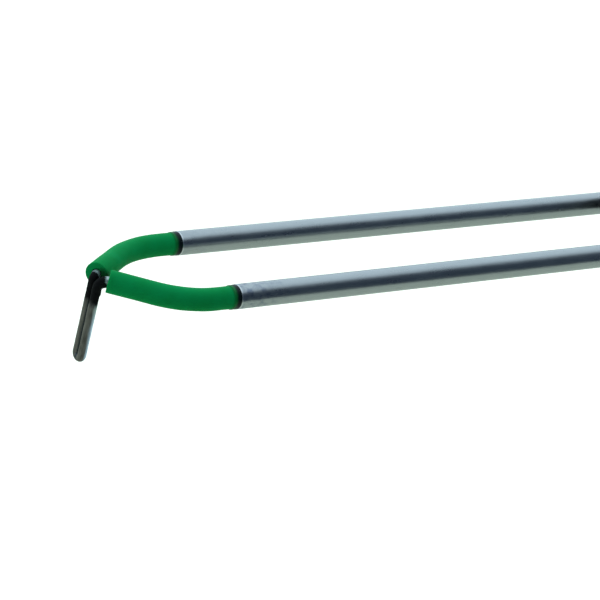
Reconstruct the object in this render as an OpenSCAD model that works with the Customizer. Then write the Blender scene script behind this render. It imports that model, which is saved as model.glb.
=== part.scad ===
// Hook electrode for a resectoscope: a hairpin of wire on two insulated arms,
// a guide for the telescope, a fork, a stem and a contact pin.
// +X runs back along the stem to the contact pin, +Z is up toward the telescope,
// and the origin is where the contact pin leaves the collar.

/* [Hook] */
// Diameter of the hook's wire
wire_d = 0.38; // [0.3:0.01:0.44]
// Depth of the hook below the centre lines of the arms
hook_depth = 3.81; // [2:0.01:6]
// How far the hook's foot stands ahead of its shoulders
hook_rake = 0.08; // [0:0.02:0.5]
// Gap between the hook's two legs
leg_gap = 0.02; // [0.01:0.01:0.1]
// Centre-line radius where the left leg turns down out of its sleeve
left_shoulder_r = 0.4; // [0.25:0.01:0.45]
// Centre-line radius where the right leg turns down out of its sleeve
right_shoulder_r = 0.23; // [0.2:0.01:0.3]
// Reach of the hook's wire into an arm tube
wire_reach = 8; // [5:0.5:12]

/* [Insulating sleeves] */
// Step from the outside of an arm tube down to the sleeve
sleeve_step = 0.04; // [0.02:0.01:0.08]
// Bore of a sleeve in the arm tube
sleeve_bore = 0.62; // [0.5:0.01:0.7]
// Bore of a sleeve ahead of the arm tube
tip_bore = 0.44; // [0.44:0.01:0.6]
// Straight length of a sleeve ahead of the arm tube
sleeve_straight = 0.9; // [0.3:0.1:3]
// Centre-line radius of a sleeve's bend
sleeve_bend_r = 4.6; // [3:0.1:5.5]
// Angle through which a sleeve turns inward
sleeve_turn = 36; // [28:1:40]
// Angle by which the plane of the left bend rises toward the middle
left_lift = 5.8; // [0:0.1:12]
// Angle by which the plane of the right bend rises toward the middle
right_lift = 4; // [0:0.1:12]
// Extra length of the right sleeve, whose tip passes the middle
right_reach = 0.18; // [0:0.02:0.24]
// Gap between the tips of the two sleeves
tip_gap = 0.07; // [0.02:0.01:0.3]
// Length of the seal at the mouth of an arm tube
seal_l = 0.35; // [0.2:0.05:0.6]
// Step from the outside of an arm tube down to the seal
seal_step = 0.01; // [0.005:0.005:0.03]

/* [Arms] */
// Outside diameter of an arm tube
arm_d = 1.07; // [0.95:0.01:1.3]
// Wall of an arm tube
arm_wall = 0.1; // [0.08:0.01:0.14]
// Length of an arm tube ahead of the telescope guide
arm_front = 26; // [20:1:40]
// Straight length of an arm tube behind the telescope guide
arm_rear = 4; // [1:0.5:10]
// Centre-line radius of the two bends toward the fork
arm_bend_r = 12; // [8:1:25]
// Straight length between those two bends
arm_slope = 3; // [1:0.5:8]
// Straight length of an arm tube ahead of the fork yoke
arm_tail = 1.5; // [0.5:0.5:5]
// Diameter of the lead inside an arm tube
lead_d = 0.4; // [0.3:0.01:0.45]
// Length of the splice between the wire and a lead
splice_l = 4; // [3:0.5:6]

/* [Telescope guide] */
// Diameter of the telescope that slides in the guide
scope_d = 4; // [3.3:0.1:4.8]
// Play of the telescope in the guide, on the diameter
scope_play = 0.1; // [0.05:0.01:0.3]
// Height of the telescope's axis above the arms
scope_rise = 1.43; // [0.5:0.01:1.8]
// Wall of the guide
guide_wall = 0.2; // [0.15:0.01:0.3]
// Length of the guide
guide_l = 20; // [10:1:30]
// Thickness of the braze between the guide and an arm
braze_gap = 0.03; // [0.02:0.01:0.05]
// Radius that the braze fills round the seam
braze_r = 0.5; // [0.45:0.05:0.6]

/* [Fork] */
// Metal between the two arm sockets of the yoke
fork_web = 0.12; // [0.1:0.01:0.3]
// Wall of the yoke
yoke_wall = 0.3; // [0.2:0.05:0.5]
// Depth of an arm socket
arm_socket = 4; // [3:0.5:8]
// Depth of the stem socket
stem_socket = 5; // [3:0.5:8]
// Height of the braze round an arm at the yoke
fork_braze = 0.15; // [0.1:0.05:0.25]
// Clearance between the telescope and the yoke
scope_gap = 0.1; // [0.05:0.05:0.5]
// Length of the crimp that joins both leads to the conductor
crimp_l = 3.5; // [3:0.5:8]
// Wall of the crimp outside a lead
crimp_wall = 0.1; // [0.08:0.01:0.2]
// Wall of the insulating cap round the crimp
cap_wall = 0.15; // [0.1:0.01:0.3]
// Thickness of the cap's front plate
cap_front = 0.8; // [0.5:0.1:2]
// Length of the head of the stem's liner, behind the crimp
liner_head = 0.5; // [0.3:0.1:1]

/* [Stem] */
// Outside diameter of the stem tube
stem_d = 2.1; // [1.8:0.05:2.6]
// Wall of the stem tube
stem_wall = 0.15; // [0.1:0.01:0.25]
// Length of the stem tube
stem_l = 195; // [150:5:240]
// Diameter of the conductor in the stem
conductor_d = 0.7; // [0.5:0.05:0.9]
// Wall of the insulating sheath on the rear of the stem
sheath_wall = 0.2; // [0.1:0.05:0.4]
// Length of that sheath
sheath_l = 45; // [20:5:80]

/* [Contact end] */
// Length of the collar's flange
flange_l = 2; // [1:0.5:5]
// Length of the collar inside the stem tube
plug_l = 6; // [4:0.5:12]
// Diameter of the contact pin
pin_d = 1.6; // [1.5:0.05:2]
// Plain length of the contact pin
pin_l = 10; // [6:0.5:15]
// Length of the latch groove
groove_l = 1; // [0.5:0.1:2]
// Depth of the latch groove
groove_depth = 0.25; // [0.1:0.05:0.35]
// Length of the pin's nose, with its round end
nose_l = 3; // [2:0.5:5]
// Step from the pin down to its nose
nose_step = 0.1; // [0.05:0.05:0.2]
// Wall of the pin's shank round the conductor
shank_wall = 0.25; // [0.15:0.05:0.3]
// Depth of the conductor in the shank
conductor_socket = 5; // [3:0.5:7]

/* [Hidden] */
$fn = 48;
braze_sides = 240;
// How far a cutter runs past the face that it opens
past = 1;
RIGHT = 1;
LEFT = -1;

steel = [0.66, 0.70, 0.72];
green = [0.02, 0.47, 0.26];
tungsten = [0.25, 0.25, 0.25];
copper = [0.78, 0.45, 0.28];
brass = [0.80, 0.66, 0.34];
silver_braze = [0.75, 0.73, 0.66];
seal_black = [0.06, 0.10, 0.09];
white_ptfe = [0.92, 0.92, 0.90];

// Diameters that follow from the fits
arm_bore = arm_d - 2 * arm_wall;
sleeve_d = arm_d - 2 * sleeve_step;
seal_d = arm_d - 2 * seal_step;
guide_bore = scope_d + scope_play;
guide_d = guide_bore + 2 * guide_wall;
fork_pitch = arm_d + fork_web;
crimp_d = fork_pitch + lead_d + 2 * crimp_wall;
chamber_d = crimp_d + 2 * cap_wall;
yoke_d = max(chamber_d, stem_d) + 2 * yoke_wall;
stem_bore = stem_d - 2 * stem_wall;
sheath_d = stem_d + 2 * sheath_wall;
shank_d = conductor_d + 2 * shank_wall;

// Heights and half widths
scope_z = scope_d / 2 + scope_gap + max(yoke_d, sheath_d) / 2;
arm_z = scope_z - scope_rise;
arm_y = sqrt(pow((guide_d + arm_d) / 2 + braze_gap, 2) - pow(scope_rise, 2));
leg_y = (wire_d + leg_gap) / 2;

// The two bends that bring an arm to the fork
side_step = arm_y - fork_pitch / 2;
bend_step = sqrt(pow(side_step, 2) + pow(arm_z, 2));
slope_lead = atan(arm_slope / (2 * arm_bend_r));
bend_angle = acos((1 - bend_step / (2 * arm_bend_r)) * cos(slope_lead)) - slope_lead;
bend_reach = 2 * arm_bend_r * sin(bend_angle) + arm_slope * cos(bend_angle);
bend_setback = arm_bend_r * tan(bend_angle / 2);

// Stations along the electrode, from the rear to the front
collar_front_x = -flange_l - plug_l;
stem_front_x = -flange_l - stem_l;
crimp_rear_x = stem_front_x - liner_head;
crimp_front_x = crimp_rear_x - crimp_l;
crimp_middle_x = crimp_front_x + crimp_l / 2;
chamber_front_x = crimp_front_x - cap_front;
yoke_front_x = chamber_front_x - arm_socket;
bend_rear_x = yoke_front_x - arm_tail;
bend_front_x = bend_rear_x - bend_reach;
guide_rear_x = bend_front_x - arm_rear;
guide_front_x = guide_rear_x - guide_l;
tip_x = guide_front_x - arm_front;

// The bare part of a sleeve, and the leg of the hook that comes out of it
turn_x = tip_x - sleeve_straight - sleeve_bend_r * tan(sleeve_turn / 2);
function lift(side) = side == RIGHT ? right_lift : left_lift;
function heading(side) = [
    -cos(sleeve_turn),
    -side * sin(sleeve_turn) * cos(lift(side)),
    sin(sleeve_turn) * sin(lift(side))
];
function to_middle(side) =
    ((arm_y - tip_gap / 2) / cos(lift(side)) - sleeve_d / 2 * cos(sleeve_turn)) / sin(sleeve_turn);
function to_leg(side) = (arm_y - leg_y) / (sin(sleeve_turn) * cos(lift(side)));

// Corners of the bent runs, each from the front to the rear
function sleeve_corner(side) = [turn_x, side * arm_y, arm_z];
function sleeve_end(side) =
    sleeve_corner(side) + (to_middle(side) + (side == RIGHT ? right_reach : 0)) * heading(side);
function leg_top(side) = sleeve_corner(side) + to_leg(side) * heading(side);
function leg_foot(side) =
    [leg_top(LEFT)[0] - hook_rake, side * leg_y, arm_z - hook_depth + wire_d / 2];
function arm_point(side, x) = [x, side * arm_y, arm_z];
function fork_point(side, x) = [x, side * fork_pitch / 2, 0];
function arm_corners(side) = [
    arm_point(side, bend_front_x + bend_setback),
    fork_point(side, bend_rear_x - bend_setback)
];
function in_tube(side) = concat(
    [arm_point(side, tip_x)], arm_corners(side), [fork_point(side, chamber_front_x)]
);
function half_wire(side) = [
    leg_foot(0), leg_foot(side), leg_top(side), sleeve_corner(side),
    arm_point(side, tip_x + wire_reach)
];

// A bend is a little thicker than the straight legs, which end a little way inside it
bend_swell = 0.004;
bend_lap = 0.02;
shortest = 0.00001;
function unit(v) = v / norm(v);
function leg(p, i) = unit(p[i + 1] - p[i]);
function angle_at(p, i) = acos(leg(p, i - 1) * leg(p, i));
function setback(p, radii, i) =
    i == 0 || i == len(p) - 1 ? 0 : radii[i - 1] * tan(angle_at(p, i) / 2);
function beside(v) = unit(cross(v, abs(v[2]) < 0.9 ? [0, 0, 1] : [0, 1, 0]));
function inside_of(p, i) = unit(leg(p, i) - cos(angle_at(p, i)) * leg(p, i - 1));
function roll_between(p, i) =
    let (above = cross(leg(p, i - 1), inside_of(p, i)), across = cross(above, leg(p, i)))
    atan2(inside_of(p, i + 1) * above, inside_of(p, i + 1) * across);

module frame_at(point, ahead, aside) {
    above = cross(ahead, aside);
    multmatrix([
        [ahead[0], aside[0], above[0], point[0]],
        [ahead[1], aside[1], above[1], point[1]],
        [ahead[2], aside[2], above[2], point[2]],
        [0, 0, 0, 1]
    ]) children();
}

module ring_outline(outer_d, inner_d) {
    difference() {
        circle(d = outer_d);
        if (inner_d > 0) circle(d = inner_d);
    }
}

// A bend from the origin, which heads along +X and turns toward +Y
module bend(radius, angle, outer_d, inner_d) {
    bore = inner_d > 0 ? inner_d - bend_swell : 0;
    translate([0, radius, 0])
        rotate([0, 0, -90])
            rotate_extrude(angle = angle)
                translate([radius, 0]) ring_outline(outer_d + bend_swell, bore);
}

// The run from corner i on, in the frame of the leg that starts there
module run_on(p, radii, i, outer_d, inner_d) {
    length = norm(p[i + 1] - p[i]) - setback(p, radii, i) - setback(p, radii, i + 1);
    last = i == len(p) - 2;
    lap_before = i == 0 ? 0 : bend_lap;
    lap_after = last ? 0 : bend_lap;
    if (length > shortest)
        translate([-lap_before, 0, 0])
            rotate([90, 0, 90])
                linear_extrude(lap_before + length + lap_after) ring_outline(outer_d, inner_d);
    if (!last) {
        angle = angle_at(p, i + 1);
        roll = i < len(p) - 3 ? roll_between(p, i + 1) : 0;
        translate([length, 0, 0]) {
            bend(radii[i], angle, outer_d, inner_d);
            translate([0, radii[i], 0])
                rotate([0, 0, angle])
                    translate([0, -radii[i], 0])
                        rotate([roll, 0, 0])
                            run_on(p, radii, i + 1, outer_d, inner_d);
        }
    }
}

// A round rod or tube through the corners p, with one bend radius for each inner corner
module run(p, radii, outer_d, inner_d = 0) {
    ahead = leg(p, 0);
    frame_at(p[0], ahead, len(p) > 2 ? inside_of(p, 1) : beside(ahead))
        run_on(p, radii, 0, outer_d, inner_d);
}

module along_x(from_x, to_x, outer_d, inner_d = 0) {
    translate([from_x, 0, 0])
        rotate([90, 0, 90])
            linear_extrude(to_x - from_x) ring_outline(outer_d, inner_d);
}

module hook_wire() {
    color(tungsten) {
        run(half_wire(LEFT), [leg_y, left_shoulder_r, sleeve_bend_r], wire_d);
        run(half_wire(RIGHT), [leg_y, right_shoulder_r, sleeve_bend_r], wire_d);
    }
}

// Bare and swollen ahead of the tube, necked down inside it as far as the fork
module sleeve(side) {
    color(green) {
        run([arm_point(side, tip_x), sleeve_corner(side), sleeve_end(side)],
            [sleeve_bend_r], sleeve_d, tip_bore);
        run(in_tube(side), [arm_bend_r, arm_bend_r], arm_bore, sleeve_bore);
    }
}

module end_seal(side) {
    color(seal_black)
        translate([0, side * arm_y, arm_z]) along_x(tip_x - seal_l, tip_x, seal_d, sleeve_d);
}

module arm_tube(side) {
    color(steel)
        run(in_tube(side), [arm_bend_r, arm_bend_r], arm_d, arm_bore);
}

module splice(side) {
    splice_mid_x = tip_x + wire_reach;
    color(brass)
        translate([0, side * arm_y, arm_z]) {
            along_x(splice_mid_x - splice_l / 2, splice_mid_x, sleeve_bore, wire_d);
            along_x(splice_mid_x, splice_mid_x + splice_l / 2, sleeve_bore, lead_d);
        }
}

module lead(side) {
    corners = concat(
        [arm_point(side, tip_x + wire_reach)], arm_corners(side), [fork_point(side, crimp_middle_x)]
    );
    color(copper) run(corners, [arm_bend_r, arm_bend_r], lead_d);
}

module telescope_guide() {
    color(steel) translate([0, 0, scope_z]) along_x(guide_front_x, guide_rear_x, guide_d, guide_bore);
}

// Braze in the seams between the guide and the two arms
module guide_braze() {
    seam = guide_d / 2 + braze_gap / 2;
    seam_angle = atan2(-scope_rise, arm_y);
    $fn = braze_sides;
    color(silver_braze)
        translate([guide_front_x, 0, 0])
            rotate([90, 0, 90])
                linear_extrude(guide_l)
                    for (side = [LEFT, RIGHT])
                        difference() {
                            translate([side * seam * cos(seam_angle), scope_z + seam * sin(seam_angle)])
                                circle(r = braze_r);
                            translate([0, scope_z]) circle(d = guide_d);
                            translate([side * arm_y, arm_z]) circle(d = arm_d);
                        }
}

module arm_sockets(from_x, to_x, d) {
    for (side = [LEFT, RIGHT])
        translate([0, side * fork_pitch / 2, 0]) along_x(from_x, to_x, d);
}

module fork_yoke() {
    rear_x = stem_front_x + stem_socket;
    cheek_d = arm_d + 2 * yoke_wall;
    color(steel) difference() {
        union() {
            arm_sockets(yoke_front_x, chamber_front_x, cheek_d);
            translate([yoke_front_x, -fork_pitch / 2, -cheek_d / 2])
                cube([arm_socket, fork_pitch, cheek_d]);
            along_x(chamber_front_x - yoke_wall, rear_x, yoke_d);
        }
        arm_sockets(yoke_front_x - past, chamber_front_x + cap_front / 2, arm_d);
        along_x(chamber_front_x, stem_front_x, chamber_d);
        along_x(stem_front_x, rear_x + past, stem_d);
    }
}

module fork_braze_ring() {
    color(silver_braze) difference() {
        for (side = [LEFT, RIGHT])
            translate(fork_point(side, yoke_front_x))
                rotate([0, -90, 0])
                    cylinder(d1 = arm_d + 2 * fork_braze, d2 = arm_d, h = fork_braze);
        arm_sockets(yoke_front_x - past, yoke_front_x + past, arm_d);
    }
}

module junction_crimp() {
    color(brass) difference() {
        along_x(crimp_front_x, crimp_rear_x, crimp_d);
        arm_sockets(crimp_front_x - past, crimp_middle_x, lead_d);
        along_x(crimp_middle_x, crimp_rear_x + past, conductor_d);
    }
}

module crimp_cap() {
    color(white_ptfe) {
        difference() {
            along_x(chamber_front_x, crimp_front_x, chamber_d);
            arm_sockets(chamber_front_x - past, crimp_front_x + past, lead_d);
        }
        along_x(crimp_front_x, crimp_rear_x, chamber_d, crimp_d);
    }
}

module stem_tube() {
    color(steel) along_x(stem_front_x, -flange_l, stem_d, stem_bore);
}

// Its head parts the live crimp from the stem tube
module stem_liner() {
    color(white_ptfe) {
        along_x(crimp_rear_x, stem_front_x, chamber_d, conductor_d);
        along_x(stem_front_x, collar_front_x, stem_bore, conductor_d);
    }
}

module stem_conductor() {
    color(copper) along_x(crimp_middle_x, collar_front_x + conductor_socket, conductor_d);
}

module stem_sheath() {
    color(green) along_x(-flange_l - sheath_l, -flange_l, sheath_d, stem_d);
}

module collar() {
    color(green) {
        along_x(collar_front_x, -flange_l, stem_bore, shank_d);
        along_x(-flange_l, 0, sheath_d, shank_d);
    }
}

module contact_pin() {
    nose_d = pin_d - 2 * nose_step;
    nose_x = pin_l + groove_l;
    round_x = nose_x + nose_l - nose_d / 2;
    color(steel) {
        difference() {
            along_x(collar_front_x, 0, shank_d);
            along_x(collar_front_x - past, collar_front_x + conductor_socket, conductor_d);
        }
        along_x(0, pin_l, pin_d);
        along_x(pin_l, nose_x, pin_d - 2 * groove_depth);
        along_x(nose_x, round_x, nose_d);
        translate([round_x, 0, 0])
            rotate([0, 90, 0])
                rotate_extrude()
                    intersection() {
                        circle(d = nose_d);
                        square(nose_d / 2);
                    }
    }
}

hook_wire();
sleeve(RIGHT);  // right_sleeve
sleeve(LEFT);  // left_sleeve
end_seal(RIGHT);  // right_end_seal
end_seal(LEFT);  // left_end_seal
arm_tube(RIGHT);  // right_arm_tube
arm_tube(LEFT);  // left_arm_tube
splice(RIGHT);  // right_splice
splice(LEFT);  // left_splice
lead(RIGHT);  // right_lead
lead(LEFT);  // left_lead
telescope_guide();
guide_braze();
fork_yoke();
fork_braze_ring();
junction_crimp();
crimp_cap();
stem_tube();
stem_liner();
stem_conductor();
stem_sheath();
collar();
contact_pin();
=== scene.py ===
"""Hook electrode for a resectoscope: the finished pieces, their materials and the stage.

The places of the mouths, guide and fork come from the CAD frame, in metres, and the sizes
match its pieces. +X runs back along the stem to the contact pin, +Z is up toward the
telescope, and the right arm is on the +Y side.
"""
import math

import bmesh
import bpy
from mathutils import Matrix, Vector, noise


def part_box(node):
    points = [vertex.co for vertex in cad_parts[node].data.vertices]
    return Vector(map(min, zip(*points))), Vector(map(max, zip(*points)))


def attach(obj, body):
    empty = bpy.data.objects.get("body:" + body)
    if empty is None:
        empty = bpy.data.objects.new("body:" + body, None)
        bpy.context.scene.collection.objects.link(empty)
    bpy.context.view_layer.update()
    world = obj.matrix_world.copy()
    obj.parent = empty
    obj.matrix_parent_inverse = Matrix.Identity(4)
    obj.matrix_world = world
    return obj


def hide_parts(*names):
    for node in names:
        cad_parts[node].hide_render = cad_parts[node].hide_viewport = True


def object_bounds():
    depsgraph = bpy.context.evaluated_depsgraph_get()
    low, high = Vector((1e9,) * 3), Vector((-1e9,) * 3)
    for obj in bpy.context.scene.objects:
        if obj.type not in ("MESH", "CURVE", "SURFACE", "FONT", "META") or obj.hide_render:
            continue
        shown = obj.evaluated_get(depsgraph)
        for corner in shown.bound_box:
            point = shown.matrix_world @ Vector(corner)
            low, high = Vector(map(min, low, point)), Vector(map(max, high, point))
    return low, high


bl_info = {
    "name": "Resectoscope hook electrode",
    "version": (1, 0, 0),
    "blender": (4, 5, 0),
    "location": "View3D > Sidebar > Electrode",
    "description": "Builds the hook, sleeves, arms, guide, fork and stem with their finishes",
    "category": "Object",
}

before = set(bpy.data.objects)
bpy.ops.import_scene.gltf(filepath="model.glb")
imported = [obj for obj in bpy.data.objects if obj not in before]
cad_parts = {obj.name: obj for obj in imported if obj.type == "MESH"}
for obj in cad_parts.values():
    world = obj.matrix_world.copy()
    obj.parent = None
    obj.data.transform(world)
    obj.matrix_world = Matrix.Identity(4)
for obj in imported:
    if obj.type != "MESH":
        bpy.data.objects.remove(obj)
CAD_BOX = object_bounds()
MM = 0.001
SENSOR_WIDTH = 36
SIDES = {"right": 1, "left": -1}


def seat(side):
    """The centre of an arm tube's mouth, from the seal that sits against it."""
    low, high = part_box(side + "_end_seal")
    return Vector((high.x, (low.y + high.y) / 2, (low.z + high.z) / 2))


TIP_X = seat("right").x
ARM_Y = seat("right").y
ARM_Z = seat("right").z
GUIDE_FRONT, GUIDE_REAR = (corner.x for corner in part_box("telescope_guide"))
GUIDE_Z = (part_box("telescope_guide")[0].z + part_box("telescope_guide")[1].z) / 2
YOKE_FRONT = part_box("fork_yoke")[0].x
CHAMBER_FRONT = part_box("crimp_cap")[0].x
HOOK_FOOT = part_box("hook_wire")[0].z
WIRE_RADIUS = 0.19 * MM
FOOT_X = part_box("hook_wire")[0].x + WIRE_RADIUS
ARC_STEP = math.radians(2)


# ---------------------------------------------------------------- paths and swept meshes


class Path:
    """A line through corners that are rounded with arcs, measured by its own length."""

    def __init__(self, corners, radii, arc_step):
        points = [Vector(c) for c in corners]
        legs = [(b - a).normalized() for a, b in zip(points, points[1:])]
        self.stations = [(0.0, points[0], legs[0])]
        here = points[0]
        for corner, before, after, radius in zip(points[1:], legs, legs[1:], radii):
            angle = before.angle(after)
            setback = radius * math.tan(angle / 2)
            start = corner - before * setback
            inward = (after - before * math.cos(angle)).normalized()
            centre = start + inward * radius
            self.extend((start - here).length, start, before)
            steps = max(2, math.ceil(angle / arc_step))
            for i in range(1, steps + 1):
                turn = angle * i / steps
                out = before * math.sin(turn) - inward * math.cos(turn)
                ahead = before * math.cos(turn) + inward * math.sin(turn)
                self.extend(radius * angle / steps, centre + out * radius, ahead)
            here = corner + after * setback
        self.extend((points[-1] - here).length, points[-1], legs[-1])

    def extend(self, length, point, ahead):
        self.stations.append((self.stations[-1][0] + length, point, ahead))

    @property
    def length(self):
        return self.stations[-1][0]

    def at(self, distance):
        """Point and heading at a distance along the path, straight on past either end."""
        stations = self.stations
        if distance <= 0:
            return stations[0][1] + stations[0][2] * distance, stations[0][2]
        for (a, p, t), (b, q, u) in zip(stations, stations[1:]):
            if distance <= b:
                share = (distance - a) / (b - a) if b > a else 0.0
                return p.lerp(q, share), t.lerp(u, share).normalized()
        end = stations[-1]
        return end[1] + end[2] * (distance - end[0]), end[2]

    def knots(self, low, high, spacing):
        """Distances from low to high: every station, and more where they are far apart."""
        inner = [s[0] for s in self.stations if low < s[0] < high]
        marks = [low]
        for mark in inner + [high]:
            gap = mark - marks[-1]
            parts = max(1, math.ceil(gap / spacing))
            first = marks[-1]
            marks += [first + gap * i / parts for i in range(1, parts + 1)]
        return marks


def rim(distance, radius, size, start, turn, steps=4):
    """Points of a rounded edge, from the angle start through turn, round its own centre."""
    points = []
    for i in range(steps + 1):
        angle = math.radians(start + turn * i / steps)
        points.append((distance + size * math.cos(angle), radius + size * math.sin(angle)))
    return points


def lips(inner, outer, edge):
    """The front end of a tube, rounded by half the edge inside and by all of it outside."""
    half = edge / 2
    return rim(half, inner + half, half, 270, -90) + rim(edge, outer - edge, edge, 180, -90)


def sweep(name, path, outline, around, closed=True, wobble=None):
    """A mesh whose section follows the outline of (distance, radius) points along the path.

    A closed outline makes a tube with a bore. An open one starts and ends on the path itself.
    """
    marks = sorted({round(distance, 12) for distance, _ in outline})
    point, ahead = path.at(marks[0])
    side = ahead.cross(Vector((0, 0, 1)))
    if side.length < 0.1:
        side = ahead.cross(Vector((0, 1, 0)))
    side.normalize()
    frames = {}
    for mark in marks:
        point, heading = path.at(mark)
        side = ahead.rotation_difference(heading) @ side
        side = (side - heading * side.dot(heading)).normalized()
        ahead = heading
        frames[mark] = (point, side, heading.cross(side))
    verts, rings = [], []
    for distance, radius in outline:
        point, side, above = frames[round(distance, 12)]
        if radius <= 0:
            rings.append([len(verts)])
            verts.append(point)
            continue
        ring = []
        for i in range(around):
            angle = 2 * math.pi * i / around
            out = side * math.cos(angle) + above * math.sin(angle)
            spot = point + out * radius
            if wobble:
                spot += out * wobble(spot)
            ring.append(len(verts))
            verts.append(spot)
        rings.append(ring)
    faces = []
    pairs = list(zip(rings, rings[1:]))
    if closed:
        pairs.append((rings[-1], rings[0]))
    for first, second in pairs:
        for i in range(around):
            j = (i + 1) % around
            if len(first) == 1:
                faces.append((first[0], second[i], second[j]))
            elif len(second) == 1:
                faces.append((first[i], second[0], first[j]))
            else:
                faces.append((first[i], second[i], second[j], first[j]))
    return mesh_piece(name, verts, faces)


def mesh_piece(name, verts, faces):
    mesh = bpy.data.meshes.new(name)
    mesh.from_pydata([tuple(v) for v in verts], [], faces)
    mesh.validate()
    mesh.update()
    make_outward(mesh)
    mesh.shade_smooth()
    mesh.set_sharp_from_angle(angle=math.radians(38))
    piece = bpy.data.objects.new(name, mesh)
    bpy.context.scene.collection.objects.link(piece)
    return piece


def make_outward(mesh):
    work = bmesh.new()
    work.from_mesh(mesh)
    bmesh.ops.recalc_face_normals(work, faces=work.faces)
    work.to_mesh(mesh)
    work.free()


def unevenness(amount, size, seed):
    """How far a surface stands out at a spot, smooth over the given size."""

    def at(spot):
        return amount * noise.noise(spot / size + Vector((seed, seed * 1.7, seed * 2.3)))

    return at


def place(piece, slot, material, *nodes):
    """Rides the piece on the root body and gives it its material; the slot is not used."""
    piece.data.materials.clear()
    piece.data.materials.append(material)
    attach(piece, "root")
    if nodes:
        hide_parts(*nodes)
    return piece


# ---------------------------------------------------------------- shader maths


class Value:
    """A number that varies over a surface. Sums and products of it add Math nodes."""

    def __init__(self, finish, socket):
        self.finish = finish
        self.socket = socket

    def math(self, operation, *inputs, clamp=False):
        sockets = {i: x for i, x in enumerate(inputs)}
        settings = {"operation": operation, "use_clamp": clamp}
        return self.finish.value("ShaderNodeMath", settings, sockets)

    def __add__(self, other):
        return self.math("ADD", self, other)

    def __radd__(self, other):
        return self.math("ADD", other, self)

    def __sub__(self, other):
        return self.math("SUBTRACT", self, other)

    def __rsub__(self, other):
        return self.math("SUBTRACT", other, self)

    def __mul__(self, other):
        return self.math("MULTIPLY", self, other)

    def __rmul__(self, other):
        return self.math("MULTIPLY", other, self)

    def clamped(self):
        return self.math("ADD", self, 0.0, clamp=True)

    def above(self, start, end):
        """0 below start, 1 past end, smooth between them. End may be the lower of the two."""
        settings = {"interpolation_type": "SMOOTHSTEP"}
        if start < end:
            sockets = {"Value": self, "From Min": start, "From Max": end}
            return self.finish.value("ShaderNodeMapRange", settings, sockets)
        sockets = {"Value": self, "From Min": end, "From Max": start}
        return 1 - self.finish.value("ShaderNodeMapRange", settings, sockets)


class Nodes:
    """A node tree under construction."""

    def __init__(self, tree):
        self.tree = tree
        tree.nodes.clear()

    def node(self, kind, settings=None, sockets=None):
        """Adds a node: its settings first, then the values or links of its sockets."""
        node = self.tree.nodes.new(kind)
        for key, value in (settings or {}).items():
            if key == "stops":
                ramp = node.color_ramp
                while len(ramp.elements) < len(value):
                    ramp.elements.new(0.5)
                for element, (position, colour) in zip(ramp.elements, value):
                    element.position = position
                    element.color = (*colour, 1)
            else:
                setattr(node, key, value)
        for key, value in (sockets or {}).items():
            self.feed(node, key, value)
        return node

    def feed(self, node, key, value):
        socket = node.inputs[key]
        if isinstance(value, Value):
            value = value.socket
        if isinstance(value, bpy.types.NodeSocket):
            self.tree.links.new(value, socket)
        elif socket.type == "RGBA" and len(value) == 3:
            socket.default_value = (*value, 1)
        else:
            socket.default_value = value

    def value(self, kind, settings=None, sockets=None, output=0):
        return Value(self, self.node(kind, settings, sockets).outputs[output])

    def mix(self, share, first, second, how="MIX"):
        settings = {"data_type": "RGBA", "blend_type": how, "clamp_factor": True}
        return self.node("ShaderNodeMix", settings, {0: share, 6: first, 7: second}).outputs[2]


class Finish(Nodes):
    """A material under construction."""

    def __init__(self, name):
        self.material = bpy.data.materials.new(name)
        self.material.use_nodes = True
        super().__init__(self.material.node_tree)
        self.shader = self.node("ShaderNodeBsdfPrincipled")
        self.node("ShaderNodeOutputMaterial", None, {"Surface": self.shader.outputs[0]})
        spot = self.node("ShaderNodeTexCoord").outputs["Object"]
        to_mm = {"operation": "SCALE"}
        scaled = self.node("ShaderNodeVectorMath", to_mm, {0: spot, "Scale": 1 / MM})
        self.place_mm = scaled.outputs[0]

    def stretched(self, x, y, z, shift=0.0):
        """The same place, drawn out along its axes."""
        parts = {"operation": "MULTIPLY_ADD"}
        sockets = {0: self.place_mm, 1: (x, y, z), 2: (shift, shift * 0.7, shift * 1.3)}
        return self.node("ShaderNodeVectorMath", parts, sockets).outputs[0]

    def axis(self, letter):
        split = self.node("ShaderNodeSeparateXYZ", None, {0: self.place_mm})
        return Value(self, split.outputs[letter])

    def behind_mouth(self):
        """Distance behind the arms' mouths, in millimetres."""
        return self.axis("X") - TIP_X / MM

    def distance(self, spot):
        """Distance from a spot, in millimetres."""
        parts = {"operation": "DISTANCE"}
        where = tuple(v / MM for v in spot)
        return self.value("ShaderNodeVectorMath", parts, {0: self.place_mm, 1: where}, "Value")

    def mottle(self, scale, detail=3.0, rough=0.55, where=None, warp=0.0):
        """Soft noise from 0 to 1. The scale is in marks per millimetre."""
        sockets = {
            "Vector": where or self.place_mm,
            "Scale": scale,
            "Detail": detail,
            "Roughness": rough,
            "Distortion": warp,
        }
        return self.value("ShaderNodeTexNoise", None, sockets)

    def bump(self, height, strength, distance_mm):
        sockets = {"Height": height, "Strength": strength, "Distance": distance_mm * MM}
        return self.node("ShaderNodeBump", None, sockets).outputs[0]

    def surface(self, **inputs):
        for key, value in inputs.items():
            self.feed(self.shader, key.replace("_", " "), value)
        return self.material


# ---------------------------------------------------------------- sizes and colours


def length(label, description, default, low=0.0, high=0.5):
    return bpy.props.FloatProperty(
        name=label,
        description=description,
        default=default,
        min=low,
        max=high,
        precision=6,
        subtype="DISTANCE",
        unit="LENGTH",
    )


def angle(label, description, degrees, low=-180.0, high=180.0):
    return bpy.props.FloatProperty(
        name=label,
        description=description,
        default=math.radians(degrees),
        min=math.radians(low),
        max=math.radians(high),
        subtype="ANGLE",
        unit="ROTATION",
    )


def colour(label, description, default):
    return bpy.props.FloatVectorProperty(
        name=label, description=description, default=default, min=0, max=1, size=3, subtype="COLOR"
    )


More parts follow.
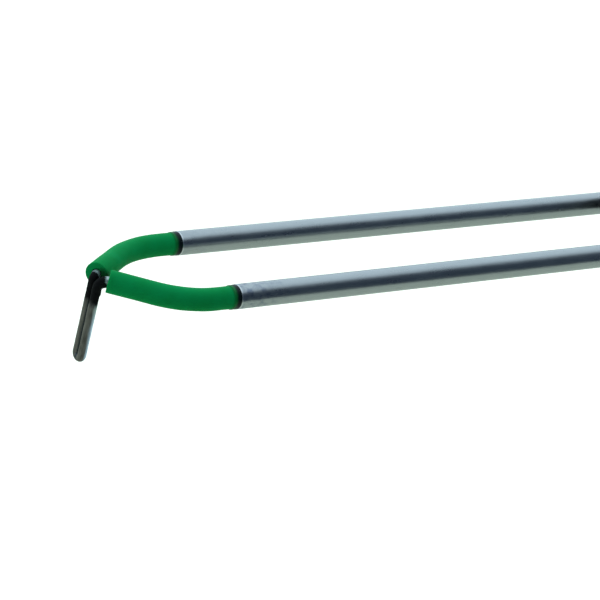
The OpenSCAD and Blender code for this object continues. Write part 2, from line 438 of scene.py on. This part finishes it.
def amount(label, description, default, low=0.0, high=1.0):
    return bpy.props.FloatProperty(
        name=label, description=description, default=default, min=low, max=high, subtype="FACTOR"
    )


class ElectrodeSizes(bpy.types.PropertyGroup):
    wire_d: length("Wire", "Diameter of the hook's wire", 0.38 * MM)
    leg_gap: length("Leg gap", "Gap between the hook's two legs", 0.02 * MM)
    rake: length("Rake", "How far the hook's foot stands ahead of its shoulders", 0.08 * MM)
    left_shoulder_r: length("Left shoulder", "Radius where the left leg turns down", 0.4 * MM)
    right_shoulder_r: length("Right shoulder", "Radius where the right leg turns down", 0.23 * MM)
    wire_reach: length("Wire reach", "Reach of the wire into an arm tube", 8 * MM)
    sleeve_d: length("Sleeve", "Outside diameter of a sleeve", 0.99 * MM)
    sleeve_bore: length("Sleeve bore", "Bore of a sleeve in the arm tube", 0.62 * MM)
    tip_bore: length("Tip bore", "Bore of a sleeve ahead of the arm tube", 0.44 * MM)
    sleeve_straight: length("Sleeve straight", "Straight length ahead of the arm tube", 0.9 * MM)
    sleeve_bend_r: length("Sleeve bend", "Centre-line radius of a sleeve's bend", 4.6 * MM)
    sleeve_turn: angle("Sleeve turn", "Angle through which a sleeve turns inward", 36)
    left_lift: angle("Left lift", "Angle by which the left bend rises toward the middle", 5.8)
    right_lift: angle("Right lift", "Angle by which the right bend rises toward the middle", 4)
    right_reach: length("Right reach", "Extra length of the right sleeve", 0.18 * MM)
    tip_gap: length("Tip gap", "Gap between the tips of the two sleeves", 0.07 * MM)
    sleeve_edge: length("Sleeve edge", "Rounding of a sleeve's cut end", 0.035 * MM)
    seal_l: length("Seal", "Length of the seal at the mouth of an arm tube", 0.35 * MM)
    arm_d: length("Arm tube", "Outside diameter of an arm tube", 1.07 * MM)
    arm_bore: length("Arm bore", "Bore of an arm tube", 0.87 * MM)
    arm_rear: length("Arm rear", "Straight length of an arm behind the guide", 4 * MM)
    arm_bend_r: length("Arm bend", "Radius of the two bends toward the fork", 12 * MM)
    arm_tail: length("Arm tail", "Straight length of an arm ahead of the fork", 1.5 * MM)
    arm_edge: length("Arm edge", "Rounding of an arm tube's mouth", 0.02 * MM)
    fork_pitch: length("Fork pitch", "Distance between the arms in the fork", 1.19 * MM)
    guide_d: length("Guide", "Outside diameter of the telescope guide", 4.5 * MM)
    guide_bore: length("Guide bore", "Bore of the telescope guide", 4.1 * MM)


class ElectrodeColours(bpy.types.PropertyGroup):
    steel: colour("Steel", "Stainless tube", (0.37, 0.385, 0.39))
    # Bare cut edge of an arm's mouth, painted lighter as a painted highlight along the edge.
    steel_rim: colour("Bare rim", "Cut edge of an arm's mouth", (0.60, 0.61, 0.62))
    steel_stain: colour("Heat stain", "Blue heat stain near an arm's mouth", (0.05, 0.075, 0.16))
    green: colour("Green", "Insulating sleeve in the light", (0.004, 0.34, 0.092))
    green_deep: colour("Deep green", "Denser patches of the sleeve", (0.004, 0.26, 0.052))
    # Near-black resin, which also stands in for painted shade in the joint at the tube's mouth.
    seal: colour("Seal", "Cured resin at the mouth of an arm", (0.003, 0.008, 0.009))
    # Painted shade on a sleeve's end beside the burnt wire, where the other sleeve and the wire
    # shade it.
    soot: colour("Soot", "Soot on a sleeve beside the burnt wire", (0.006, 0.030, 0.008))
    scorch: colour("Scorch", "Burnt wire beside the sleeves", (0.004, 0.004, 0.004))
    wire_dark: colour("Dark wire", "Oxidised wire of the hook", (0.120, 0.112, 0.100))
    # Painted shade in the gap between the hook's legs.
    crevice: colour("Crevice", "Grime between the hook's legs", (0.042, 0.052, 0.056))
    # Painted highlight on the back of the hook, below the burnt part.
    wire_worn: colour("Worn wire", "Back of the hook, below the burnt part", (0.44, 0.52, 0.51))
    # Painted highlight on the back of the hook, bluish white near the foot.
    wire_bright: colour("Bright wire", "Back of the hook, near the foot", (0.66, 0.80, 1.00))
    braze: colour("Braze", "Silver braze", (0.66, 0.62, 0.52))
    copper: colour("Copper", "Leads and conductor", (0.72, 0.34, 0.20))
    brass: colour("Brass", "Crimps and splices", (0.70, 0.50, 0.22))
    white: colour("White", "Insulating cap and liner", (0.80, 0.80, 0.77))


class StageSettings(bpy.types.PropertyGroup):
    azimuth: angle("Azimuth", "Direction of the camera round the object", -40.01)
    elevation: angle("Elevation", "Height of the camera above the horizon", 26.031)
    roll: angle("Roll", "Turn of the camera about its own axis", 13.688)
    distance: length("Distance", "From the arms' mouths to the camera", 107.162 * MM)
    lens: bpy.props.FloatProperty(
        name="Lens", description="Focal length", default=150.617, min=1, unit="CAMERA"
    )
    aim_across: length("Aim across", "Middle of the view, to the right of the mouths", 4.0328 * MM)
    aim_down: length("Aim down", "Middle of the view, below the mouths", 1.2942 * MM)
    floor_drop: length("Floor", "Depth of the floor below the object", 60 * MM)
    floor_size: length("Floor size", "Width of the floor", 6.0, 0.0, 50.0)
    floor_front: length("Floor front", "Reach of the floor on the left side", 0.20, 0.0, 50.0)
    glow: amount("Floor glow", "Light that the floor gives off", 0.55, 0.0, 5.0)


# ---------------------------------------------------------------- paths of this object


def sizes():
    return bpy.context.scene.electrode_sizes


def colours():
    return {key: tuple(getattr(bpy.context.scene.electrode_colours, key))
            for key in ElectrodeColours.__annotations__}


def shaded(tone, share):
    """The same colour, darker or lighter."""
    return tuple(share * v for v in tone)


def arm_mouth(side):
    """The centre of an arm tube's mouth."""
    return Vector((TIP_X, side * ARM_Y, ARM_Z))


def bare_line(side):
    """Mouth, corner, heading and bare length past the corner of one sleeve."""
    s = sizes()
    turn, lift = s.sleeve_turn, s.right_lift if side > 0 else s.left_lift
    setback = s.sleeve_bend_r * math.tan(turn / 2)
    corner = Vector((TIP_X - s.sleeve_straight - setback, side * ARM_Y, ARM_Z))
    heading = Vector((
        -math.cos(turn),
        -side * math.sin(turn) * math.cos(lift),
        math.sin(turn) * math.sin(lift),
    ))
    inward = (ARM_Y - s.tip_gap / 2) / math.cos(lift) - s.sleeve_d / 2 * math.cos(turn)
    bare = inward / math.sin(turn) + (s.right_reach if side > 0 else 0)
    return arm_mouth(side), corner, heading, bare


def wire_corners(side):
    """Corners of one half of the hook's wire, from inside the arm to the foot."""
    s = sizes()
    mouth, corner, heading, _ = bare_line(side)
    leg_y = (s.wire_d + s.leg_gap) / 2
    top = corner + heading * (leg_y - ARM_Y) * side / heading.y
    _, left_corner, left_heading, _ = bare_line(-1)
    front = (left_corner + left_heading * (ARM_Y - leg_y) / left_heading.y).x - s.rake
    foot = Vector((front, side * leg_y, HOOK_FOOT + s.wire_d / 2))
    return [mouth + Vector((s.wire_reach, 0, 0)), corner, top, foot]


def arm_corners(side):
    """The two corners of an arm's centre line, behind the guide and ahead of the fork."""
    s = sizes()
    front, rear = GUIDE_REAR + s.arm_rear, YOKE_FRONT - s.arm_tail
    step = math.hypot(ARM_Y - s.fork_pitch / 2, ARM_Z)
    setback = s.arm_bend_r * math.tan(bend_angle(step, rear - front, s.arm_bend_r) / 2)
    return [
        Vector((front + setback, side * ARM_Y, ARM_Z)),
        Vector((rear - setback, side * s.fork_pitch / 2, 0)),
        Vector((CHAMBER_FRONT, side * s.fork_pitch / 2, 0)),
    ]


def bend_angle(step, reach, radius):
    """Angle of two equal and opposite bends that step over while they reach on."""
    low, high = 0.0, math.asin(min(1, reach / (2 * radius)))
    for _ in range(60):
        turn = (low + high) / 2
        slope = (reach - 2 * radius * math.sin(turn)) / math.cos(turn)
        if 2 * radius * (1 - math.cos(turn)) + slope * math.sin(turn) < step:
            low = turn
        else:
            high = turn
    return low


# ---------------------------------------------------------------- materials


def steel_finish(name, stain=0.0):
    """Satin drawn steel: long fine grain, cloudy sheen, and heat stain behind an arm's mouth."""
    c = colours()
    f = Finish(name)
    grain = f.mottle(1.0, 2.0, 0.5, f.stretched(0.35, 9.0, 9.0))
    cloud = f.mottle(1.6, 4.0, 0.6, f.stretched(0.5, 1.0, 1.0, 7.0))
    pits = f.mottle(7.0, 3.0, 0.6)
    worn = (cloud - 0.5) * 0.55 + (grain - 0.5) * 0.35 + (pits - 0.5) * 0.25
    dull, clean = shaded(c["steel"], 0.80), shaded(c["steel"], 1.18)
    shade = f.mix((worn + 0.5).clamped(), dull, clean)
    if stain:
        behind = f.behind_mouth()
        spots = f.mottle(3.6, 4.0, 0.7, f.stretched(0.8, 1.0, 1.0, 3.0))
        stain_end, stain_full = 3.6, 0.2
        near = behind.above(stain_end, stain_full)
        mask = (spots + near * 0.06).above(0.46, 0.78) * near * stain * 0.6
        shade = f.mix(mask, shade, c["steel_stain"])
    # Painted highlight: the cut edge at the mouth is bare metal, painted lighter so that the edge
    # looks as if it catches the light.
    cut_edge = f.behind_mouth().above(0.07, 0.03)
    return f.surface(
        Base_Color=f.mix(cut_edge * 0.8, shade, c["steel_rim"]),
        Metallic=1.0,
        Roughness=(0.30 + (cloud - 0.5) * 0.16 + (grain - 0.5) * 0.10).clamped(),
        Normal=f.bump(grain * 0.4 + pits * 0.6, 0.5, 0.008),
    )


def green_finish(name):
    """Satin green plastic, a little cloudy."""
    f = Finish(name)
    cloud = f.mottle(0.9, 3.0, 0.55)
    fine = f.mottle(14.0, 2.0, 0.5)
    return green_surface(f, cloud, fine, green_shade(f, cloud))


def sleeve_finish(name, sooty):
    """A sleeve's green plastic, with painted shade beside the burnt wire and painted shade where
    it meets the seal.
    """
    c = colours()
    f = Finish(name)
    cloud = f.mottle(0.9, 3.0, 0.55)
    fine = f.mottle(14.0, 2.0, 0.5)
    mouth = TIP_X / MM
    # Painted shade: the sleeve turns deep green over its last half millimetre before the arm tube,
    # where the tube's mouth shades it.
    mouth_shade = f.axis("X").above(mouth - 0.46, mouth - 0.30)
    # Painted shade: dark green on the sleeve's end face beside the wire, where the other sleeve
    # and the wire shade it.
    soot_to, soot_full = 0.46, 0.20
    soot = (f.distance(sooty) + (fine - 0.5) * 0.2).above(soot_to, soot_full)
    shade = f.mix(mouth_shade * 0.5, green_shade(f, cloud), shaded(c["green_deep"], 0.25))
    shade = f.mix(soot * 0.8, shade, c["soot"])
    return green_surface(f, cloud, fine, shade)


def green_shade(f, cloud):
    """Green with denser patches."""
    c = colours()
    return f.mix(((cloud - 0.5) * 1.6 + 0.4).clamped(), c["green"], c["green_deep"])


def green_surface(f, cloud, fine, shade):
    """The satin gloss and fine texture that every green piece shares."""
    return f.surface(
        Base_Color=shade,
        Roughness=(0.46 + (cloud - 0.5) * 0.15 + (fine - 0.5) * 0.08).clamped(),
        Specular_IOR_Level=0.012,
        Normal=f.bump(fine * 0.4 + cloud, 0.30, 0.006),
    )


def resin_finish(name):
    """Cured resin, green over the sleeve and black against the arm tube; the darkening is partly
    the resin's colour and partly painted shade in the joint.
    """
    c = colours()
    f = Finish(name)
    cloud = f.mottle(3.0, 3.0, 0.55)
    # Painted shade in part: the resin darkens from deep green to black toward the arm tube.
    behind = (f.behind_mouth() + (cloud - 0.5) * 0.08).above(-0.34, -0.14)
    return f.surface(
        Base_Color=f.mix(behind, shaded(c["green_deep"], 0.7), c["seal"]),
        Roughness=(0.34 + (cloud - 0.5) * 0.2).clamped(),
        Specular_IOR_Level=0.12,
        Normal=f.bump(cloud, 0.4, 0.010),
    )


def wire_finish(name):
    """Tungsten: black below the sleeves, bare at their mouths, with a painted highlight on the
    back of the hook.
    """
    c = colours()
    f = Finish(name)
    height = f.axis("Z") - ARM_Z / MM
    back = f.axis("X") - FOOT_X / MM
    across = f.axis("Y")
    cloud = f.mottle(3.2, 4.0, 0.6, f.stretched(1.0, 1.0, 0.45, 2.0))
    fine = f.mottle(13.0, 3.0, 0.6)
    streak = f.mottle(9.0, 3.0, 0.6, f.stretched(1.0, 1.0, 0.15, 5.0))
    dull = ((cloud - 0.5) * 1.2 + (streak - 0.5) * 1.6 + 0.5).clamped()
    darker, lighter = shaded(c["wire_dark"], 0.45), shaded(c["wire_dark"], 1.7)
    shade = f.mix(dull, darker, lighter)
    # Painted highlight: the back of the hook is painted light, bluish white near the foot, as if
    # catching the light.
    worn = f.mix(height.above(-1.0, -2.2), c["wire_worn"], c["wire_bright"])
    shade = f.mix((back + (streak - 0.5) * 0.12).above(-0.06, 0.14), shade, worn)
    # Painted shade: a dark stripe down the gap between the hook's two legs.
    crevice = (across.math("ABSOLUTE", across) + (fine - 0.5) * 0.04).above(0.09, 0.03)
    shade = f.mix(crevice, shade, c["crevice"])
    burnt_from, burnt_full = -1.15, -0.75
    burnt = (height + (cloud - 0.5) * 0.9).above(burnt_from, burnt_full)
    bare_to, bare_full = 0.24, 0.19
    for side in SIDES.values():
        _, corner, heading, bare = bare_line(side)
        apart = f.distance(corner + heading * bare) + (fine - 0.5) * 0.06
        near = apart.above(bare_to, bare_full)
        burnt = burnt * (1 - near)
    return f.surface(
        Base_Color=f.mix(burnt, shade, c["scorch"]),
        Metallic=(0.75 - burnt).clamped(),
        Roughness=(0.40 + burnt * 0.28 + (cloud - 0.5) * 0.2).clamped(),
        Specular_IOR_Level=0.08,
        Normal=f.bump(fine * 0.5 + cloud * 0.5 + burnt * fine, 0.5, 0.010),
    )


def plain_finish(name, key, metallic, roughness, scale, depth_mm, spread=0.25):
    """A finish with cloudy colour, uneven gloss and a fine texture at the given scale."""
    c = colours()[key]
    f = Finish(name)
    cloud = f.mottle(scale, 4.0, 0.6)
    fine = f.mottle(scale * 7, 2.0, 0.5)
    dark, light = shaded(c, 1 - spread), shaded(c, 1 + spread)
    return f.surface(
        Base_Color=f.mix(((cloud - 0.5) * 1.5 + 0.5).clamped(), dark, light),
        Metallic=metallic,
        Roughness=(roughness + (cloud - 0.5) * 0.2 + (fine - 0.5) * 0.1).clamped(),
        Normal=f.bump(cloud * 0.6 + fine * 0.4, 0.35, depth_mm),
    )


# ---------------------------------------------------------------- operators


class ELECTRODE_OT_hook(bpy.types.Operator):
    """Build the hook: one wire through both sleeves, bent down and back on itself"""

    bl_idname = "electrode.hook"
    bl_label = "Hook"

    def execute(self, context):
        s = sizes()
        leg_y = (s.wire_d + s.leg_gap) / 2
        corners = wire_corners(-1) + wire_corners(1)[::-1]
        radii = [s.sleeve_bend_r, s.left_shoulder_r, leg_y]
        radii += [leg_y, s.right_shoulder_r, s.sleeve_bend_r]
        path = Path(corners, radii, math.radians(7))
        radius, edge = s.wire_d / 2, 0.04 * MM
        marks = path.knots(edge, path.length - edge, 0.09 * MM)
        outline = [(0, 0), (0, radius - edge)] + [(m, radius) for m in marks]
        outline += [(path.length, radius - edge), (path.length, 0)]
        rough = unevenness(0.006 * MM, 0.35 * MM, seed=4)
        piece = sweep("hook", path, outline, around=36, closed=False, wobble=rough)
        material = wire_finish("scorched_tungsten")
        place(piece, "tungsten_wire", material, "hook_wire")
        for name, side in SIDES.items():
            self.char(name, side, material)
        return {"FINISHED"}

    def char(self, name, side, material):
        """The burnt crust that fills the inside of a shoulder."""
        s = sizes()
        _, corner, heading, bare = bare_line(side)
        top = wire_corners(side)[2]
        down = Vector((0, 0, -1))
        start_drop, knee_drop, end_drop, knee_r = 0.08, 0.26, 0.75, 0.25 * MM
        start = corner + heading * (bare + 0.01 * MM) + down * start_drop * MM
        knee = top - heading * 0.02 * MM + down * knee_drop * MM
        path = Path([start, knee, top + down * end_drop * MM], [knee_r], math.radians(8))
        full, thin = s.wire_d / 2 + 0.022 * MM, s.wire_d / 2 + 0.002 * MM
        outline = [(0, 0)]
        for mark in path.knots(0, path.length, 0.05 * MM):
            share = mark / path.length
            swell = math.sin(math.pi * (0.15 + 0.85 * share)) ** 0.8
            outline.append((mark, thin + (full - thin) * swell))
        outline += [(path.length, 0)]
        rough = unevenness(0.035 * MM, 0.22 * MM, seed=31 + side)
        crust = sweep(name + "_char", path, outline, around=40, closed=False, wobble=rough)
        place(crust, "tungsten_wire", material)


class ELECTRODE_OT_sleeves(bpy.types.Operator):
    """Build the two insulating sleeves, bare ahead of the arms and necked inside them"""

    bl_idname = "electrode.sleeves"
    bl_label = "Sleeves"

    def execute(self, context):
        s = sizes()
        for name, side in SIDES.items():
            mouth, corner, heading, bare = bare_line(side)
            end, arm = corner + heading * bare, arm_corners(side)
            # Centre of the painted shade beside the wire, on the inner side of each sleeve's end.
            beside_wire = Vector((0.15, -0.22 * side, -0.02)) * MM
            material = sleeve_finish(name + "_green", end + beside_wire)
            path = Path([end, corner] + arm, [s.sleeve_bend_r] + [s.arm_bend_r] * 2, ARC_STEP)
            at_mouth = path.length - Path([mouth] + arm, [s.arm_bend_r] * 2, ARC_STEP).length
            r, bore, neck, e = s.sleeve_d / 2, s.sleeve_bore / 2, s.arm_bore / 2, s.sleeve_edge
            tip = s.tip_bore / 2
            outline = lips(tip, r, e)
            outline += [(m, r) for m in path.knots(e, at_mouth, 0.12 * MM)[1:]]
            outline += [(m, neck) for m in path.knots(at_mouth, path.length, 2.5 * MM)]
            outline += [(m, bore) for m in path.knots(at_mouth, path.length, 0.6 * MM)[::-1]]
            outline += [(m, tip) for m in path.knots(e / 2, at_mouth, 0.3 * MM)[:0:-1]]
            rough = unevenness(0.007 * MM, 0.9 * MM, seed=11 + side)
            piece = sweep(name + "_sleeve_bent", path, outline, around=64, wobble=rough)
            place(piece, "green_plastic", material, name + "_sleeve")
        return {"FINISHED"}


class ELECTRODE_OT_arms(bpy.types.Operator):
    """Build the two arm tubes with their mouths rounded over, and the seals in them"""

    bl_idname = "electrode.arms"
    bl_label = "Arms"

    def execute(self, context):
        s = sizes()
        resin = resin_finish("dark_resin")
        for name, side in SIDES.items():
            mouth = arm_mouth(side)
            path = Path([mouth] + arm_corners(side), [s.arm_bend_r] * 2, ARC_STEP)
            r, bore, e = s.arm_d / 2, s.arm_bore / 2, s.arm_edge
            outline = lips(bore, r, e)
            outline += [(m, r) for m in path.knots(e, path.length, 1.2 * MM)[1:]]
            outline += [(m, bore) for m in path.knots(e / 2, path.length, 2.5 * MM)[:0:-1]]
            tube = sweep(name + "_arm", path, outline, around=72)
            steel = steel_finish(name + "_satin_steel", 1.0 if side < 0 else 0.25)
            place(tube, "stainless", steel, name + "_arm_tube")
            ahead = Path([mouth, mouth - Vector((s.sleeve_straight, 0, 0))], [], 1)
            inner, long = s.sleeve_d / 2, s.seal_l
            skin = r - 0.012 * MM
            bead = [(0, inner), (0, skin), (long * 0.2, r - 0.006 * MM)]
            bead += [(long * k, skin) for k in (0.35, 0.5, 0.65, 0.78)]
            bead += rim(long * 0.88, r - 0.042 * MM, 0.028 * MM, 90, -70)
            bead += [(long, inner + 0.001 * MM), (long, inner)]
            rough = unevenness(0.006 * MM, 0.3 * MM, seed=23 + side)
            seal = sweep(name + "_seal", ahead, bead, around=72, wobble=rough)
            place(seal, "seal", resin, name + "_end_seal")
        return {"FINISHED"}


class ELECTRODE_OT_guide(bpy.types.Operator):
    """Build the telescope guide with both of its lips rounded over"""

    bl_idname = "electrode.guide"
    bl_label = "Telescope guide"

    def execute(self, context):
        s = sizes()
        ends = [Vector((x, 0, GUIDE_Z)) for x in (GUIDE_FRONT, GUIDE_REAR)]
        path = Path(ends, [], 1)
        r, bore, e, far = s.guide_d / 2, s.guide_bore / 2, 0.05 * MM, path.length
        outline = rim(e, bore + e, e, 270, -90) + rim(e, r - e, e, 180, -90)
        outline += [(m, r) for m in path.knots(e, far - e, 1 * MM)[1:-1]]
        outline += rim(far - e, r - e, e, 90, -90) + rim(far - e, bore + e, e, 0, -90)
        outline += [(m, bore) for m in path.knots(e, far - e, 2 * MM)[-2:0:-1]]
        guide = sweep("guide", path, outline, around=128)
        place(guide, "stainless", steel_finish("guide_steel"), "telescope_guide")
        return {"FINISHED"}


class ELECTRODE_OT_metalwork(bpy.types.Operator):
    """Give the fork, the stem, the contact pin and the brazing their finishes"""

    bl_idname = "electrode.metalwork"
    bl_label = "Metalwork"

    def execute(self, context):
        finish_nodes(steel_finish("stem_steel"), "fork_yoke", "stem_tube", "contact_pin")
        braze = plain_finish("silver_braze", "braze", 1.0, 0.34, 1.8, 0.020)
        finish_nodes(braze, "guide_braze", "fork_braze_ring")
        return {"FINISHED"}


class ELECTRODE_OT_conductors(bpy.types.Operator):
    """Give the leads, the conductor, the splices and the crimp their finishes"""

    bl_idname = "electrode.conductors"
    bl_label = "Conductors"

    def execute(self, context):
        copper = plain_finish("bare_copper", "copper", 1.0, 0.32, 1.5, 0.005)
        finish_nodes(copper, "right_lead", "left_lead", "stem_conductor")
        brass = plain_finish("crimped_brass", "brass", 1.0, 0.30, 1.5, 0.008)
        finish_nodes(brass, "right_splice", "left_splice", "junction_crimp")
        return {"FINISHED"}


class ELECTRODE_OT_insulation(bpy.types.Operator):
    """Give the cap, the liner, the sheath and the collar their finishes"""

    bl_idname = "electrode.insulation"
    bl_label = "Insulation"

    def execute(self, context):
        white = plain_finish("white_insulation", "white", 0.0, 0.42, 0.9, 0.010, 0.08)
        finish_nodes(white, "crimp_cap", "stem_liner")
        finish_nodes(green_finish("green_sheath"), "stem_sheath", "collar")
        return {"FINISHED"}


def finish_nodes(material, *names):
    for name in names:
        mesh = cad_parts[name].data
        mesh.materials.clear()
        mesh.materials.append(material)


class ELECTRODE_OT_stage(bpy.types.Operator):
    """Set up the pale floor, the soft light and the camera"""

    bl_idname = "electrode.stage"
    bl_label = "Stage"

    def execute(self, context):
        scene = context.scene
        g = scene.electrode_stage
        low, high = CAD_BOX
        middle = (low + high) / 2
        half, z = g.floor_size / 2, low.z - g.floor_drop
        corners = [(middle.x + x * half, y, z) for x, y in (
            (-1, -g.floor_front), (1, -g.floor_front), (1, half), (-1, half)
        )]
        floor = mesh_piece("floor", corners, [(0, 1, 2, 3)])
        paper = Finish("pale_floor")
        darker, lighter = (0.84, 0.83, 0.64), (0.88, 0.87, 0.68)
        tone = paper.mix(paper.mottle(0.02), darker, lighter)
        seen = paper.node("ShaderNodeLightPath").outputs["Is Camera Ray"]
        glow = paper.mix(Value(paper, seen), (0, 0, 0), (1, 1, 1))
        floor.data.materials.append(
            paper.surface(
                Base_Color=tone, Roughness=0.8, Emission_Color=glow, Emission_Strength=g.glow
            )
        )
        self.light_room(scene)
        self.aim_camera(scene, g)
        return {"FINISHED"}

    def light_room(self, scene):
        """A pale room, bright overhead and on the right, and dim on the left."""
        world = bpy.data.worlds.new("room")
        world.use_nodes = True
        scene.world = world
        room = Nodes(world.node_tree)
        towards = room.node("ShaderNodeTexCoord").outputs["Generated"]
        parts = room.node("ShaderNodeSeparateXYZ", None, {0: towards}).outputs
        left = (0 - Value(room, parts[1])).above(-0.30, 0.35)
        low = Value(room, parts[2]).above(0.94, 0.66)
        seen = room.node("ShaderNodeLightPath").outputs["Is Camera Ray"]
        pale, dim, white = (1.00, 1.24, 1.40), (0.05, 0.075, 0.115), (1.0, 1.0, 1.0)
        lit = room.mix(left * low, pale, dim)
        shown = room.mix(Value(room, seen), lit, white)
        light = room.node("ShaderNodeBackground", None, {"Color": shown, "Strength": 1.0})
        room.node("ShaderNodeOutputWorld", None, {"Surface": light.outputs[0]})
        scene.view_settings.view_transform = "Standard"

    def aim_camera(self, scene, g):
        a, e = g.azimuth, g.elevation
        back = Vector((math.sin(a) * math.cos(e), -math.cos(a) * math.cos(e), math.sin(e)))
        level = Vector((0, 0, 1)).cross(back).normalized()
        upright = back.cross(level)
        right = level * math.cos(g.roll) + upright * math.sin(g.roll)
        up = upright * math.cos(g.roll) - level * math.sin(g.roll)
        aim = Vector((TIP_X, 0, ARM_Z)) + right * g.aim_across - up * g.aim_down
        data = bpy.data.cameras.new("camera")
        data.lens, data.sensor_width = g.lens, SENSOR_WIDTH
        data.clip_start = 1 * MM
        camera = bpy.data.objects.new("camera", data)
        camera.matrix_world = Matrix.Translation(aim + back * g.distance) @ Matrix(
            (right, up, back)
        ).transposed().to_4x4()
        scene.collection.objects.link(camera)
        scene.camera = camera


class ELECTRODE_PT_build(bpy.types.Panel):
    """The steps that build the electrode, and its sizes and colours"""

    bl_idname = "ELECTRODE_PT_build"
    bl_label = "Hook electrode"
    bl_space_type = "VIEW_3D"
    bl_region_type = "UI"
    bl_category = "Electrode"

    def draw(self, context):
        for step in STEPS:
            self.layout.operator(step.bl_idname)
        for group in GROUPS:
            box = self.layout.box()
            settings = getattr(context.scene, group)
            for key in settings.__annotations__:
                box.prop(settings, key)


STEPS = (
    ELECTRODE_OT_stage,
    ELECTRODE_OT_hook,
    ELECTRODE_OT_sleeves,
    ELECTRODE_OT_arms,
    ELECTRODE_OT_guide,
    ELECTRODE_OT_metalwork,
    ELECTRODE_OT_conductors,
    ELECTRODE_OT_insulation,
)
GROUPS = {
    "electrode_sizes": ElectrodeSizes,
    "electrode_colours": ElectrodeColours,
    "electrode_stage": StageSettings,
}


def register():
    for kind in (*GROUPS.values(), *STEPS, ELECTRODE_PT_build):
        bpy.utils.register_class(kind)
    for key, kind in GROUPS.items():
        setattr(bpy.types.Scene, key, bpy.props.PointerProperty(type=kind))


def unregister():
    for key in GROUPS:
        delattr(bpy.types.Scene, key)
    for kind in (ELECTRODE_PT_build, *reversed(STEPS), *reversed(GROUPS.values())):
        bpy.utils.unregister_class(kind)


def main():
    register()
    for step in STEPS:
        group, action = step.bl_idname.split(".")
        getattr(getattr(bpy.ops, group), action)()


if __name__ == "__main__":
    main()
